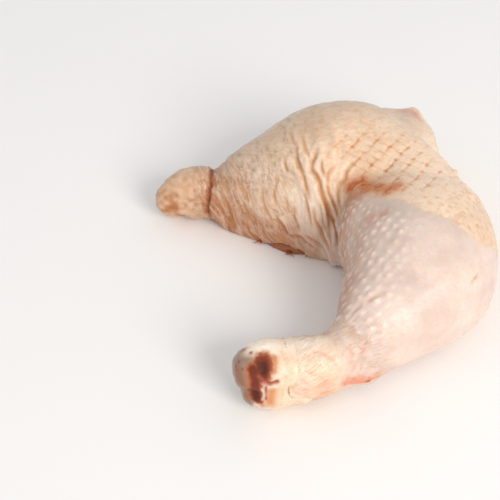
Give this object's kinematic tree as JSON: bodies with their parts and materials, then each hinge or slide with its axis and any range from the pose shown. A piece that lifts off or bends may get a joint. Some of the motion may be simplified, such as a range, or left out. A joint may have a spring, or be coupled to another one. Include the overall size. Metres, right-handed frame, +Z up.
{
  "type": "raw chicken leg",
  "caption": "Raw chicken leg with thigh and tail, bent at the knee, skin side up, with a bare joint end where the foot was cut off.",
  "frame": {"origin": "middle of the footprint, on the surface that the leg lies on", "axes": "+Z up through the skin side, +Y from the drumstick towards the cut edge of the back, +X from the tail and the foot end towards the knee"},
  "size_m": [0.142, 0.17, 0.0554],
  "materials": {
    "raw_skin": "satin",
    "bone_and_cartilage": "satin",
    "raw_muscle": "satin"
  },
  "bodies": {
    "root": {"leg_skin": "raw_skin", "shank_bone": "bone_and_cartilage", "thigh_meat": "raw_muscle"}
  },
  "joints": []
}
